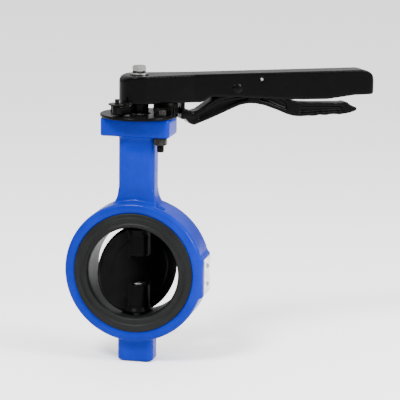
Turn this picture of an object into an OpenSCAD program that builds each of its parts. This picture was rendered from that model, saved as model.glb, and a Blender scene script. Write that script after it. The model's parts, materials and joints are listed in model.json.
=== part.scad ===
// Lever operated wafer butterfly valve, nominal bore 100 mm.
// Frame: origin where the pipe axis meets the stem axis. Y runs along the pipe (the lever side's
// front face looks to -Y), X runs across it and Z runs up the stem. Millimetres.

/* [Body casting] */
// Outside diameter of the body ring
body_d = 154; // [150:1:165]
// Width of the body ring between its two machined faces
body_w = 47; // [42:1:54]
// Rounding of the ring's outer edges
body_edge_r = 4; // [2:0.5:6]
// Width of the neck across the pipe
neck_w = 40; // [38:1:46]
// Depth of the neck along the pipe
neck_d = 28; // [27:1:34]
// Corner rounding of the neck and of the foot
neck_corner_r = 7; // [4:1:9]
// Radius of the flare where the neck runs into the ring
flare_r = 27; // [14:1:30]
// Height of the foot's underside below the pipe axis
foot_drop = 101.5; // [98:0.5:108]
// Height of the top flange's upper face above the pipe axis
flange_top = 168.5; // [160:0.5:185]
// Thickness of the top flange
flange_t = 20; // [14:1:22]
// Width of the top flange across the pipe
flange_w = 76; // [70:1:84]
// Depth of the top flange along the pipe
flange_d = 44; // [40:1:52]

/* [Rubber seat] */
// Bore diameter of the rubber seat
seat_bore_d = 99; // [94:1:100]
// Outside diameter of the seat's face lips
seat_lip_d = 132; // [126:1:136]
// Overall width over the sealing faces
face_to_face = 50; // [46:1:56]
// Thickness of the rubber wall inside the backing ring
seat_wall = 3.4; // [2.5:0.1:5]
// Thickness of the hard backing ring
backing_t = 2; // [1.5:0.1:3]

/* [Disc and shafts] */
// Gap between the disc's rim and the seat
disc_gap = 0.3; // [0.3:0.05:0.6]
// Thickness of the disc's web
disc_t = 7.5; // [6:0.5:11]
// Diameter of the disc's shaft bosses
disc_boss_d = 27; // [24:1:30]
// Distance from the pipe axis to the inner end of each boss
disc_boss_start = 16; // [12:1:20]
// Diameter of both shafts
stem_d = 16; // [14:0.5:18]
// Depth of the square drives' flats below the shaft's surface
flat_depth = 2.5; // [2.5:0.1:3]
// Angle of the disc from closed at rest, degrees
disc_rest = 45; // [0:9:90]

/* [Notch plate] */
// Diameter of the notch plate
plate_d = 84; // [82:1:92]
// Thickness of the notch plate
plate_t = 3.4; // [3:0.2:5]
// Thickness of the raised rim that carries the notches
rim_t = 4.2; // [3.8:0.2:5]
// Angle between neighbouring notches, degrees
notch_pitch = 15; // [9:1:15]
// Width of each notch
notch_w = 3.4; // [3:0.2:5]
// Depth of each notch into the rim's outer face
notch_depth = 2.8; // [2.6:0.1:3]

/* [Lever] */
// Direction of the lever at rest, from +X towards +Y, degrees
lever_az = 30; // [0:5:45]
// Length from the stem axis to the tip
lever_len = 270; // [250:1:300]
// Outside diameter of the lever's head
head_d = 43; // [42:1:48]
// Width of the grip
grip_w = 28; // [27:1:34]
// Height of the lever's underside above the notch plate
lever_lift = 11.7; // [10:0.1:16]
// Height of the channel's side walls, roof included
lever_h = 30; // [27:1:34]
// Thickness of the side walls
lever_wall = 3.5; // [3:0.25:4]
// Thickness of the roof
lever_roof = 4; // [3:0.5:5]

/* [Trigger] */
// Gap between the trigger and each side wall of the lever
trigger_gap = 1.5; // [1:0.25:3]
// Distance of the trigger's pivot from the stem axis
pivot_x = 107; // [100:1:110]
// Diameter of the trigger's pivot pin
pivot_d = 6; // [5:0.5:7]

/* [Fasteners] */
// Thread diameter of the lever's bolt
lever_bolt_d = 8; // [6:1:8]
// Thread diameter of the notch plate's bolts
plate_bolt_d = 8; // [6:1:8]
// Distance of the plate bolts from the stem axis, across the pipe
plate_bolt_x = 27; // [26:0.5:28]
// Distance of the plate bolts from the stem axis, along the pipe
plate_bolt_y = 12; // [11:0.5:13]

/* [Hidden] */
$fn = 96;
running = 0.05;          // radial clearance of a running fit
slip = 0.2;              // radial clearance of a part that is only dropped in
eps = 0.01;              // overlap that joins two stretches of one shaft
thread_wall = 0.5;       // least metal left round the thread in the shaft's end

body_r = body_d / 2;
body_h = body_w / 2;
seat_r = seat_bore_d / 2;
seat_h = face_to_face / 2;
backing_in_r = seat_r + seat_wall;
backing_r = backing_in_r + backing_t;
body_bore_r = backing_r + running;
lip_r = seat_lip_d / 2;
recess_depth = 2.6;      // depth of the lip's recess in each body face
recess_gap = 0.3;
stem_r = stem_d / 2;
gland_r = stem_r + 3;    // housing radius for bushes and rings
disc_r = seat_r - disc_gap;
flange_z = flange_top - flange_t;
plate_z = flange_top;
plate_top = plate_z + plate_t;
plate_r = plate_d / 2;
lever_z = plate_top + lever_lift;
lever_top = lever_z + lever_h;
roof_z = lever_top - lever_roof;
head_r = head_d / 2;
socket_r = stem_r + 2.5; // radius of the socket boss under the head
square_af = stem_d - 2 * flat_depth;
thread_d = min(lever_bolt_d, square_af - 2 * thread_wall);   // the lever bolt's thread in the shaft's end
trigger_w = grip_w - 2 * lever_wall - 2 * trigger_gap;
stem_top = lever_top - 3;
square_z = plate_top + 2;
notches = floor(90 / notch_pitch) + 1;   // one at each end of the quarter turn, the rest between
rim_top = lever_z - 0.8;
rim_overrun = 5;         // how far the rim runs past its first and last notch, degrees
pivot_z = roof_z - 12;
tooth_out = 0.5;         // gap between the plate's rim and the released tooth
plate_bolts = [[plate_bolt_x, -plate_bolt_y], [-plate_bolt_x, plate_bolt_y]];   // through, then tapped
tapped_depth = 14;       // how far the second plate bolt is screwed into the flange
lug_az = 206;            // direction of the head's stop lug from the lever's own direction
stop_screw_r = 2.5;

// ---------- shared shapes ----------

module tube(r_out, r_in, h, z = 0) {
    translate([0, 0, z]) difference() {
        cylinder(r = r_out, h = h);
        translate([0, 0, -1]) cylinder(r = r_in, h = h + 2);
    }
}

// A ring about the pipe axis from a half profile of [radius, distance along the pipe] points.
module pipe_ring(points) {
    rotate([-90, 0, 0]) rotate_extrude($fn = 180) polygon(points);
}

// A bar with rounded upright edges, centred on Z.
module rounded_bar(w, d, r, z0, z1) {
    translate([0, 0, z0]) linear_extrude(z1 - z0) rounded_rect(w, d, r);
}

module rounded_rect(w, d, r) {
    square([w - 2 * r, d], center = true);
    square([w, d - 2 * r], center = true);
    for (x = [-1, 1], y = [-1, 1])
        translate([x * (w / 2 - r), y * (d / 2 - r)]) circle(r = r, $fn = 48);
}

module hexagon_head(af, h, z) {
    translate([0, 0, z]) rotate(30) cylinder(r = af / sqrt(3), h = h, $fn = 6);
}

module in_lever_frame() {
    rotate([0, 0, lever_az]) children();
}

module in_disc_frame() {
    rotate([0, 0, disc_rest]) children();
}

// A point on a quarter arc: centre [cx, cy], radius r, from angle a0 to a1 in n steps.
function arc(cx, cy, r, a0, a1, n = 6) =
    [for (i = [0:n]) let (a = a0 + (a1 - a0) * i / n) [cx + r * cos(a), cy + r * sin(a)]];

// ---------- body and its liner ----------

module body_ring() {
    e = body_edge_r;
    pipe_ring(concat(
        [[body_bore_r, -body_h + recess_depth], [lip_r + recess_gap, -body_h + recess_depth],
         [lip_r + recess_gap, -body_h]],
        arc(body_r - e, -body_h + e, e, -90, 0),
        arc(body_r - e, body_h - e, e, 0, 90),
        [[lip_r + recess_gap, body_h], [lip_r + recess_gap, body_h - recess_depth],
         [body_bore_r, body_h - recess_depth]]));
}

// Concave webs that run the neck's sides into the ring.
module neck_flare() {
    cx = neck_w / 2 + flare_r;
    cz = sqrt(pow(body_r - 3 + flare_r, 2) - cx * cx);
    reach = cx * (body_r - 3) / (body_r - 3 + flare_r);
    rotate([90, 0, 0]) linear_extrude(neck_d - 2, center = true) difference() {
        translate([-reach, 50]) square([2 * reach, cz - 50]);
        for (x = [-cx, cx]) translate([x, cz]) circle(r = flare_r);
    }
}

module nameplate_pad() {
    translate([tag_x - 12, -body_h + body_edge_r, -24])
        cube([12, body_w - 2 * body_edge_r, 44]);
}

module at_bolt(i) {
    translate([plate_bolts[i][0], plate_bolts[i][1], 0]) children();
}

module body() {
    color("royalblue") difference() {
        union() {
            body_ring();
            rounded_bar(neck_w, neck_d, neck_corner_r, body_bore_r + 6, flange_z + 1);
            neck_flare();
            rounded_bar(flange_w, flange_d, 4, flange_z, flange_top);
            rounded_bar(neck_w, neck_d, neck_corner_r, -foot_drop, -body_bore_r - 6);
            nameplate_pad();
        }
        translate([0, 0, body_bore_r - 4]) cylinder(r = gland_r, h = 200);
        translate([0, 0, -stub_bottom()]) cylinder(r = gland_r, h = 60);
        rotate([-90, 0, 0]) cylinder(r = body_bore_r, h = body_w + 20, center = true, $fn = 180);
        at_bolt(0) cylinder(r = plate_bolt_d / 2 + 0.4, h = flange_top + 1);
        at_bolt(1) translate([0, 0, flange_top - tapped_depth - 2]) cylinder(r = plate_bolt_d / 2 + running, h = 20);
        rivet_holes();
    }
}

function stub_bottom() = foot_drop - 8;

groove = 1.5;            // depth of the groove between the inner lip and the sealing bead
bead_r = 59.7;           // radius of the sealing bead's crest
bead_w = 1.6;            // width of its flat crest

// Half of the liner's section on one side (-1 front, 1 back), from the bore out to the rim.
function seat_lip(side) = [for (p = [
    [seat_r, 16], [seat_r + 0.3, seat_h - 3], [seat_r + 1.3, seat_h - 0.8], [seat_r + 2.2, seat_h],
    [seat_r + 3.6, seat_h], [seat_r + 4.8, seat_h - 0.7], [seat_r + 5.4, seat_h - groove],
    [bead_r - bead_w / 2 - 1.3, seat_h - groove], [bead_r - bead_w / 2, seat_h], [bead_r + bead_w / 2, seat_h],
    [bead_r + bead_w / 2 + 1.2, seat_h - 1], [lip_r - 0.9, seat_h - 1], [lip_r, seat_h - 1.9],
    [lip_r, body_h - recess_depth], [backing_in_r, body_h - recess_depth]]) [p[0], side * p[1]]];

function backwards(list) = [for (i = [len(list) - 1:-1:0]) list[i]];

module seat() {
    color("dimgray") difference() {
        pipe_ring(concat(seat_lip(-1), backwards(seat_lip(1))));
        cylinder(r = stem_r + slip, h = 3 * seat_r, center = true);
    }
}

module seat_backing_ring() {
    color("saddlebrown") difference() {
        rotate([-90, 0, 0]) translate([0, 0, -body_h + recess_depth])
            tube(backing_r, backing_in_r, body_w - 2 * recess_depth, $fn = 180);
        cylinder(r = stem_r + slip + 0.3, h = 3 * seat_r, center = true);
    }
}

// ---------- disc and shafts ----------

module disc() {
    boss_r = disc_boss_d / 2;
    color("dimgray") in_disc_frame() difference() {
        intersection() {
            sphere(r = disc_r, $fn = 180);
            union() {
                cube([2 * disc_r + 2, disc_t, 2 * disc_r + 2], center = true);
                for (s = [0, 180]) rotate([s, 0, 0]) {
                    translate([0, 0, disc_boss_start]) cylinder(r = boss_r, h = 60);
                    translate([0, 0, disc_r - 9]) cylinder(r1 = boss_r, r2 = boss_r + 5, h = 9);
                }
                rotate([90, 0, 0]) cylinder(r = disc_r - 14, h = disc_t + 1.2, center = true);
            }
        }
        translate([-square_af / 2 - running, -square_af / 2 - running, square_end - slip])
            cube([square_af + 2 * running, square_af + 2 * running, 60]);
        translate([0, 0, -disc_r - 5])
            cylinder(r = stem_r + running, h = disc_r + 5 - 0.9 * disc_boss_start);
    }
}

square_end = disc_boss_start + 4;   // height of the drive square's lower end
module stem() {
    color("silver") difference() {
        union() {
            translate([0, 0, disc_r]) cylinder(r = stem_r, h = square_z - disc_r);
            in_disc_frame() translate([-square_af / 2, -square_af / 2, square_end])
                cube([square_af, square_af, disc_r - square_end + eps]);
            in_lever_frame() translate([-square_af / 2, -square_af / 2, square_z - eps])
                cube([square_af, square_af, stem_top - square_z]);
        }
        translate([0, 0, stem_top - 22]) cylinder(r = thread_d / 2, h = 40);
        tube(gland_r, stem_r - 1, circlip_t + 0.2, circlip_z - 0.1);
    }
}

module stub_shaft() {
    color("silver") {
        translate([0, 0, -stub_bottom() + 5]) cylinder(r = stem_r, h = stub_bottom() - 5 - disc_boss_start + 1);
        translate([0, 0, -stub_bottom() + 3]) cylinder(r1 = stem_r - 2, r2 = stem_r, h = 2);
    }
}

bush_len = 20;
module bush(z) {
    color("peru") tube(gland_r, stem_r + running, bush_len, z);
}

module upper_bush() { bush(flange_z - 22); }
module neck_bush() { bush(body_bore_r + 4); }
module stub_bush() { bush(-stub_bottom() + 6); }

module stub_thrust_pad() {
    color("ivory") translate([0, 0, -stub_bottom()]) cylinder(r = gland_r - 0.5, h = 2.8);
}

ring_r = 1.4;            // section radius of the O-rings
module stem_o_rings() {
    color("black") for (i = [0:2]) translate([0, 0, flange_z + 1 + 3.4 * i])
        rotate_extrude() translate([stem_r + 0.1 + ring_r, 0]) circle(r = ring_r, $fn = 32);
}

circlip_t = 1.2;
circlip_z = flange_top - 4;
module stem_circlip() {
    color("silver") difference() {
        tube(gland_r - 0.6, stem_r - 1 + running, circlip_t, circlip_z);
        translate([0, -2, circlip_z - 1]) cube([20, 4, 4]);
    }
}

module gland_washer() {
    color("peru") tube(gland_r - 0.1, stem_r + slip, 2.2, circlip_z - 2.5);
}

// ---------- notch plate ----------

notch_first = lever_az - disc_rest;   // direction of the closed notch

// Half profile of the plate with a raised rim over a small fillet.
module plate_profile() {
    foot_r = 1.5;
    in_r = plate_r - rim_t;
    polygon(concat([[socket_r + 2, plate_z], [plate_r, plate_z], [plate_r, rim_top], [in_r, rim_top]],
                   arc(in_r - foot_r, plate_top + foot_r, foot_r, 0, -90),
                   [[socket_r + 2, plate_top]]));
}

// Everything above the plate outside the notched stretch of its rim.
module rimless_sector() {
    start = notch_first + notch_pitch * (notches - 1) + rim_overrun;
    open = 360 - notch_pitch * (notches - 1) - 2 * rim_overrun;
    far = 2 * plate_r;
    translate([0, 0, plate_top]) linear_extrude(rim_top)
        polygon(concat([[0, 0]], [for (i = [0:8]) let (a = start + open * i / 8) [far * cos(a), far * sin(a)]]));
}

module notch_plate() {
    color("black") difference() {
        rotate_extrude($fn = 180) plate_profile();
        rimless_sector();
        for (i = [0:notches - 1]) rotate([0, 0, notch_first + notch_pitch * i])
            translate([plate_r - notch_depth, -notch_w / 2, plate_top])
                cube([10, notch_w, rim_top]);
        for (i = [0, 1]) at_bolt(i) translate([0, 0, plate_z - 1]) cylinder(r = plate_bolt_d / 2 + 0.4, h = 10);
    }
}

washer_t = 1.6;
module plate_bolts() {
    ends = [flange_z - 16, flange_top - tapped_depth];
    color("dimgray") for (i = [0, 1]) at_bolt(i) {
        translate([0, 0, ends[i]]) cylinder(r = plate_bolt_d / 2, h = plate_top + washer_t - ends[i]);
        hexagon_head(1.625 * plate_bolt_d, 5.3, plate_top + washer_t);
    }
}

module plate_bolt_washers() {
    color("dimgray") for (i = [0, 1]) at_bolt(i)
        tube(plate_bolt_d * 0.95, plate_bolt_d / 2 + 0.2, washer_t, plate_top);
}

module plate_nut_washer() {
    color("dimgray") at_bolt(0) tube(plate_bolt_d * 0.95, plate_bolt_d / 2 + 0.2, washer_t, flange_z - washer_t);
}

nut_h = 6.8;
module plate_nut() {
    color("dimgray") at_bolt(0) difference() {
        hexagon_head(1.625 * plate_bolt_d, nut_h, flange_z - washer_t - nut_h);
        translate([0, 0, flange_z - 20]) cylinder(r = plate_bolt_d / 2 + 0.02, h = 30);
    }
}

// ---------- lever ----------

head_end = 58;           // where the head's taper has become the grip
tip_r = 9;               // rounding of the tip in plan
module lever_plan(inset) {
    circle(r = head_r - inset);
    polygon([[0, -head_r + inset], [head_end, -grip_w / 2 + inset],
             [head_end, grip_w / 2 - inset], [0, head_r - inset]]);
    translate([head_end - 1, -grip_w / 2 + inset])
        square([lever_len - tip_r - head_end + 1, grip_w - 2 * inset]);
    translate([head_end - 1, -grip_w / 2 + tip_r])
        square([lever_len - inset - head_end + 1, grip_w - 2 * tip_r]);
    for (y = [-1, 1]) translate([lever_len - tip_r, y * (grip_w / 2 - tip_r)])
        circle(r = tip_r - inset, $fn = 48);
}

// Side view of the lever, which trims its tip and its underside.
module lever_side() {
    big = 16;
    polygon(concat(
        [[-head_r - 10, lever_z], [30, lever_z], [66, lever_z - 0.6], [70, lever_z + 1], [77, lever_z + 5.2],
         [120, lever_z + 3.2], [lever_len - 104, lever_z - 0.6], [lever_len - 58, lever_z - 1.6],
         [lever_len - 26, lever_z + 2], [lever_len + 5, lever_z + 2.4]],
        [[lever_len + 5, lever_top - big]],
        arc(lever_len - big, lever_top - big, big, 0, 90, 8),
        [[-head_r - 10, lever_top]]));
}

module lever_shell() {
    intersection() {
        difference() {
            translate([0, 0, lever_z - 10]) linear_extrude(lever_h + 10) lever_plan(0);
            translate([0, 0, lever_z - 11]) linear_extrude(lever_h + 11 - lever_roof) lever_plan(lever_wall);
            intersection() {
                head_rounding();
                translate([-head_d, -head_d, 0]) cube([head_d + 5, 2 * head_d, 2 * lever_top]);
            }
        }
        rotate([90, 0, 0]) linear_extrude(2 * head_d, center = true) lever_side();
    }
}

// Lug on the head's near side, with the stop screw through its outer end.
module stop_lug() {
    start = head_r - lever_wall;
    low = plate_top + 1;
    rotate([0, 0, lug_az]) difference() {
        union() {
            translate([start, -4, low]) cube([head_r + 0.2 - start, 14, lever_z + 1 - low]);
            translate([start, -4, low]) cube([lug_x - start + 4, 14, lug_top - low]);
            translate([lug_x, 0, low]) cylinder(r = 5, h = lug_top - low, $fn = 64);
        }
        translate([lug_x, 0, plate_top]) cylinder(r = stop_screw_r + running, h = 40, $fn = 48);
    }
}

stop_washer_r = 9.4;
lug_x = head_r + stop_washer_r + 0.6;   // distance of the stop screw from the stem axis
lug_top = lever_z - 0.2;

// Rounds the head's top edge at the back, fading out towards both sides.
module head_rounding() {
    r = 8;
    ahead = 14;
    far = head_r + ahead;
    translate([ahead, 0, 0]) rotate_extrude($fn = 180)
        polygon(concat(arc(far - r, lever_top - r, r, 90, 0),
                       [[far + 2, lever_top - r], [far + 2, lever_top + 1], [far - r, lever_top + 1]]));
}

module lever() {
    color("black") in_lever_frame() difference() {
        union() {
            lever_shell();
            translate([0, 0, plate_top + 0.5]) cylinder(r = socket_r, h = roof_z - plate_top);
            stop_lug();
            translate([lever_len, 0, lever_z + 10]) sphere(r = 1.4, $fn = 32);
        }
        translate([-square_af / 2 - running, -square_af / 2 - running, plate_z])
            cube([square_af + 2 * running, square_af + 2 * running, lever_top - plate_z - 2.5]);
        translate([0, 0, plate_z]) cylinder(r = stem_r + slip, h = square_z - plate_z + 1);
        translate([0, 0, plate_z]) cylinder(r = lever_bolt_d / 2 + 0.4, h = 80);
        side_hole(pivot_x, pivot_z, pivot_d / 2 + running);
        side_hole(stop_x, stop_z, stop_r + running);
    }
}

module side_hole(x, z, r) {
    translate([x, 0, z]) rotate([90, 0, 0]) cylinder(r = r, h = 60, center = true, $fn = 48);
}

module lever_washer() {
    color("silver") tube(1.25 * lever_bolt_d, lever_bolt_d / 2 + 0.3, 2, lever_top);
}

module lever_spring_washer() {
    color("silver") difference() {
        tube(0.9 * lever_bolt_d, lever_bolt_d / 2 + 0.2, 2.2, lever_top + 2);
        rotate([0, 0, 140]) translate([0, -0.6, lever_top + 1]) cube([20, 1.2, 5]);
    }
}

module lever_bolt() {
    z = lever_top + 4.2;
    color("silver") {
        translate([0, 0, stem_top - 18]) cylinder(r = thread_d / 2 - running, h = z - stem_top + 18);
        hexagon_head(1.625 * lever_bolt_d, 5.6, z);
    }
}

// ---------- trigger ----------

stop_x = pivot_x + 28;   // cross pin that stops the squeezed trigger
stop_z = roof_z - 3.2;
stop_r = 1.6;
tooth_x = plate_r + tooth_out;

// Side view of the trigger: nose and tooth on the left, pivot, then the finger grip.
module trigger_side() {
    z = lever_z - 15.5;
    end = lever_len - 20;
    nose = plate_r + 7;
    difference() {
        union() {
            polygon([[nose, z], [nose + 2, z - 4], [nose + 6, z - 8.6], [nose + 11, z - 10.4],
                     [nose + 17, z - 8.2], [77.5, z - 4], [92, z + 1.8], [106, z + 7.6], [112, z + 9.8],
                     [118, z + 11], [124, z + 11.4], [130, z + 11], [141, z + 8.6], [156, z + 3],
                     [168, z - 2.2], [175, z - 4.2], [183, z - 5], [192, z - 4.6], [199, z - 5.2], [205, z - 4],
                     [213, z - 4.6], [221, z - 3.6], [230, z - 4.4], [238, z - 3.4], [end - 9, z - 3],
                     [end - 2, z - 1], [end, z + 0.4], [end, z + 3], [end - 4, z + 4.6], [end - 8, z + 6.6],
                     [end - 12, z + 9.6], [end - 18, z + 9], [197, z + 10], [182, z + 11], [174, z + 13],
                     [166, z + 16.4], [155, z + 23.5], [stop_x + 8, z + 31], [stop_x, z + 32.4],
                     [pivot_x + 8, z + 32.4], [pivot_x, pivot_z + 6], [pivot_x - 11, z + 32], [92, z + 26.5],
                     [86, z + 20], [nose + 16, z + 6], [nose + 8, z + 4], [nose + 3, z + 6.5], [nose, z + 8]]);
            translate([pivot_x, pivot_z]) circle(r = 6);
        }
        translate([pivot_x, pivot_z]) circle(r = pivot_d / 2 + running, $fn = 48);
    }
}

// Hollows in both flanks leave a web with a rib round it, as in a casting.
module trigger_pockets() {
    depth = 2.4;
    z = lever_z - 15.5;
    for (y = [-1, 1]) translate([0, y * (trigger_w / 2), 0]) rotate([90, 0, 0])
        linear_extrude(2 * depth, center = true) {
            polygon([[180, z - 1.4], [182, z + 6.6], [232, z + 5], [234, z + 0.4]]);
            polygon([[64, z - 4.6], [78, z + 1.6], [94, z + 7.6], [110, z + 13.6], [120, z + 15.4], [122, z + 19],
                     [106, z + 18.4], [92, z + 16], [80, z + 11.6], [66, z + 3.6]]);
            polygon([[134, z + 15.2], [146, z + 12], [158, z + 6.8], [168, z + 3], [166, z + 10.4],
                     [154, z + 17.6], [140, z + 23]]);
        }
}

// The blade across the nose, which rises between the lever's walls, and the tooth on its near face.
blade_t = 4;
tooth_h = 6.4;
module trigger_blade() {
    x = tooth_x + notch_depth;
    low = lever_z - 19;
    translate([tooth_x, -notch_w / 2 + 0.4, plate_top - 2]) cube([notch_depth + 2, notch_w - 0.8, tooth_h]);
    translate([x, -trigger_w / 2, low]) cube([blade_t, trigger_w, 24]);
    for (i = [0:2]) translate([x, -trigger_w / 2 - 1, low + 2 + 2.8 * i]) cube([14 - i, trigger_w + 2, 1.4]);
}

spring_x = pivot_x + 17;
spring_r = 5.4;
wire_r = 0.7;
spring_seat = roof_z - 12;
module trigger() {
    color("black") in_lever_frame() difference() {
        union() {
            rotate([90, 0, 0]) linear_extrude(trigger_w, center = true) trigger_side();
            trigger_blade();
        }
        trigger_pockets();
        translate([spring_x, 0, spring_seat]) cylinder(r = spring_r + wire_r + 0.8, h = 30);
    }
}

pin_len = grip_w + 5.4;
module pivot_pin() {
    color("dimgray") in_lever_frame() translate([pivot_x, 0, pivot_z]) rotate([90, 0, 0]) {
        translate([0, 0, -pin_len / 2]) cylinder(r = pivot_d / 2, h = pin_len, $fn = 48);
        translate([0, 0, pin_half_width()]) cylinder(r1 = 5.6, r2 = 4.4, h = 2, $fn = 48);
    }
}

// Half the lever's width where the pivot pin crosses it.
function pin_half_width() = grip_w / 2 + 0.05;

module pivot_pin_clip() {
    color("silver") in_lever_frame() translate([pivot_x, pin_half_width() + 0.1, pivot_z]) rotate([-90, 0, 0])
        tube(pivot_d / 2 + 2, pivot_d / 2 + 0.02, 1, 0, $fn = 48);
}

module trigger_stop_pin() {
    color("silver") in_lever_frame() translate([stop_x, 0, stop_z]) rotate([90, 0, 0])
        cylinder(r = stop_r, h = grip_w + 1, center = true, $fn = 32);
}

// Ring of points round the spring's wire at the angle t along its helix.
turns = 5;
spring_steps = 14;
spring_sides = 8;
spring_len = roof_z - spring_seat - 2 * wire_r - 0.2;
function wire_point(t, s) =
    let (a = 360 * t, w = 360 * s / spring_sides, r = spring_r + wire_r * cos(w))
    [r * cos(a), r * sin(a), spring_len * t / turns + wire_r * sin(w)];

module trigger_spring() {
    rings = turns * spring_steps;
    points = [for (i = [0:rings], s = [0:spring_sides - 1]) wire_point(i / spring_steps, s)];
    sides = [for (i = [0:rings - 1], s = [0:spring_sides - 1])
        let (n = (s + 1) % spring_sides, a = i * spring_sides, b = a + spring_sides)
        [a + s, b + s, b + n, a + n]];
    ends = [[for (s = [0:spring_sides - 1]) s],
            [for (s = [spring_sides - 1:-1:0]) rings * spring_sides + s]];
    color("silver") in_lever_frame() translate([spring_x, 0, spring_seat + wire_r + 0.1])
        polyhedron(points, concat(sides, ends), convexity = 6);
}

// Screw, nut and large washer that set the lever's end stop.
module in_lug_frame() {
    rotate([0, 0, lever_az + lug_az]) translate([lug_x, 0, 0]) children();
}

module stop_screw() {
    color("dimgray") in_lug_frame() {
        translate([0, 0, plate_top + 0.6]) cylinder(r = stop_screw_r, h = lug_top + 5.6 - plate_top, $fn = 48);
    }
}

module stop_washer() {
    color("dimgray") in_lug_frame() tube(stop_washer_r, stop_screw_r + running, 1.6, lug_top, $fn = 64);
}

// ---------- nameplate ----------

tag_x = body_r + 0.2;
tag_t = 0.8;
rivet_z = [-12, 8];
module rivet_holes() {
    for (z = rivet_z) translate([tag_x - 8, 0, z]) rotate([0, 90, 0]) cylinder(r = 1.3, h = 20, $fn = 32);
}

module nameplate() {
    color("black") difference() {
        translate([tag_x, -15, -22]) cube([tag_t, 30, 40]);
        rivet_holes();
    }
}

module nameplate_rivets() {
    color("silver") for (z = rivet_z) translate([tag_x, 0, z]) rotate([0, 90, 0]) {
        translate([0, 0, -7]) cylinder(r = 1.25, h = 7 + tag_t, $fn = 32);
        translate([0, 0, tag_t]) cylinder(r1 = 2.6, r2 = 1.4, h = 1.5, $fn = 32);
    }
}

body();
seat();
seat_backing_ring();
disc();
stem();
stub_shaft();
upper_bush();
neck_bush();
stub_bush();
stub_thrust_pad();
stem_o_rings();
stem_circlip();
gland_washer();
notch_plate();
plate_bolts();
plate_bolt_washers();
plate_nut();
plate_nut_washer();
lever();
lever_washer();
lever_spring_washer();
lever_bolt();
trigger();
pivot_pin();
pivot_pin_clip();
trigger_stop_pin();
trigger_spring();
stop_screw();
stop_washer();
nameplate();
nameplate_rivets();
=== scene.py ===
"""Looks of a lever operated wafer butterfly valve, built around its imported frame."""

import json
from math import atan2, cos, pi, radians, sin, sqrt, tan

import bmesh
import bpy
from bpy.props import FloatProperty, FloatVectorProperty, IntProperty, PointerProperty
from mathutils import Matrix, Vector


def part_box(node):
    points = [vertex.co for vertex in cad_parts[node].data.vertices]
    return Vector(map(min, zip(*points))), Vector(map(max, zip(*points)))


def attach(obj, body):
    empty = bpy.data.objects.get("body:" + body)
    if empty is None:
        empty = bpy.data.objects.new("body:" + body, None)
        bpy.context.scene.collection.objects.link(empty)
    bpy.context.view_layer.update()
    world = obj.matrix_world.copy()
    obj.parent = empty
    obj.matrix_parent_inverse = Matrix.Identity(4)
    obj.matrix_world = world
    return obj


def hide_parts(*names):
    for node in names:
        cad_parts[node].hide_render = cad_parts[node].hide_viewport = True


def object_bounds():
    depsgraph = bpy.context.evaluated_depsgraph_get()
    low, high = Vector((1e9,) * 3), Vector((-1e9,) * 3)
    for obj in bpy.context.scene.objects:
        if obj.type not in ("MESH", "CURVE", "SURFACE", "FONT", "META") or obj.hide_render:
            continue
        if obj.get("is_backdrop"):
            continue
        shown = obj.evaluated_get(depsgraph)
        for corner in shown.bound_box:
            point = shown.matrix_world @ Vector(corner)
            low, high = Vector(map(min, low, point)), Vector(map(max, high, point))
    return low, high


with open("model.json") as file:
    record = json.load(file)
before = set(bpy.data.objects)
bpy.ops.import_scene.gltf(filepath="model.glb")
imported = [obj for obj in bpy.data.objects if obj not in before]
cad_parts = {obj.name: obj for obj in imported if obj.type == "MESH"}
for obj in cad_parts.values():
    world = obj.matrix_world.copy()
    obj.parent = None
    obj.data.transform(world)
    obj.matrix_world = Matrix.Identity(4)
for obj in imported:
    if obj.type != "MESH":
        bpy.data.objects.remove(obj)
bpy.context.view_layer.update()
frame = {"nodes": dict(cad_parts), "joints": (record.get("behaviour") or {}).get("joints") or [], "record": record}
NODES = frame["nodes"]

bl_info = {
    "name": "Wafer butterfly valve",
    "version": (1, 0, 0),
    "blender": (4, 5, 0),
    "location": "View3D > Sidebar > Valve",
    "description": "Builds the castings, rubber, fasteners and finishes of a lever operated wafer valve",
    "category": "Object",
}

MM = 0.001
TURN = 2 * pi

BODY, ROTOR, TRIGGER = "valve_body", "lever_and_disc", "trigger"
TRIGGER_JOINT = frame["joints"][1]
NEAR = 1e-6                    # points closer than this are one point
BOLT_GAP = 0.2 * MM            # between a bolt and its washer
WASHER_SPREAD = 0.95           # a plate washer's radius over its bolt's diameter


# ---------------------------------------------------------------- settings

def length(name, default, description, low=0.0):
    """A length in millimetres shown as a number in the panel."""
    return FloatProperty(name=name, description=description, default=default, min=low, precision=2)


def colour(name, default, description):
    return FloatVectorProperty(name=name, description=description, default=default, size=3,
                               subtype="COLOR", min=0.0, max=1.0)


class ValveCastings(bpy.types.PropertyGroup):
    """How finely the cast and moulded pieces are rounded."""
    body_grain: length("Body mesh size", 1.5, "Size of the body casting's faces, in mm", 0.8)
    part_grain: length("Part mesh size", 0.9, "Size of the faces of the lever and the disc, in mm", 0.5)
    plate_grain: length("Plate mesh size", 0.7, "Size of the notch plate's faces, in mm", 0.4)
    body_rounding: IntProperty(name="Body rounding", description="Smoothing passes on the body",
                               default=5, min=0, max=30)
    part_rounding: IntProperty(name="Part rounding", description="Smoothing passes on the other castings",
                               default=5, min=0, max=30)
    panel_w: length("Neck panel width", 19.0, "Width of the raised blank panel on the neck, in mm")
    panel_h: length("Neck panel height", 44.0, "Height of the raised blank panel on the neck, in mm")
    panel_rise: length("Neck panel rise", 0.9, "How far the blank panel stands out, in mm")


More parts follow.
